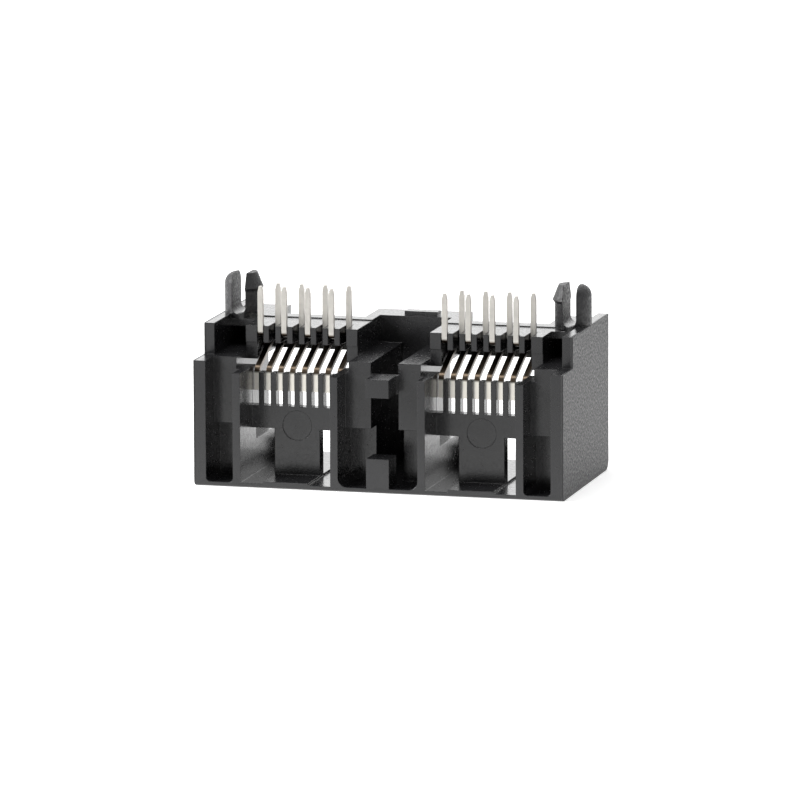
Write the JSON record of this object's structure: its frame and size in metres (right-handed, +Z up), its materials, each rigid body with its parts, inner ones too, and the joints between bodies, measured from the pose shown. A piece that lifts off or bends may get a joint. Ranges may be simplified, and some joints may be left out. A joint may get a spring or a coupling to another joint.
{
  "type": "ethernet jack",
  "caption": "Low-profile modular network jack for a circuit board: side-by-side plug openings, open back pockets, combed spring contacts, solder tails and split pegs.",
  "frame": {"origin": "centre of the bounding box's lower face, on the surface that the jack rests on", "axes": "X runs across both ports to the right as seen from the open back; +Y points towards the plug openings; +Z points up, the way the tails and pegs stand, towards the circuit board."},
  "size_m": [0.0316, 0.0158, 0.0166],
  "materials": {
    "housing_plastic": "black glass-filled thermoplastic, satin on the mould's polished faces, spark-grained at the ends",
    "contact_metal": "drawn phosphor bronze wire, matte tin on the tails and plated on the springs"
  },
  "bodies": {
    "root": {"housing": "housing_plastic", "contact_a1": "contact_metal", "contact_a2": "contact_metal", "contact_a3": "contact_metal", "contact_a4": "contact_metal", "contact_a5": "contact_metal", "contact_a6": "contact_metal", "contact_a7": "contact_metal", "contact_a8": "contact_metal", "contact_b1": "contact_metal", "contact_b2": "contact_metal", "contact_b3": "contact_metal", "contact_b4": "contact_metal", "contact_b5": "contact_metal", "contact_b6": "contact_metal", "contact_b7": "contact_metal", "contact_b8": "contact_metal"}
  },
  "joints": []
}
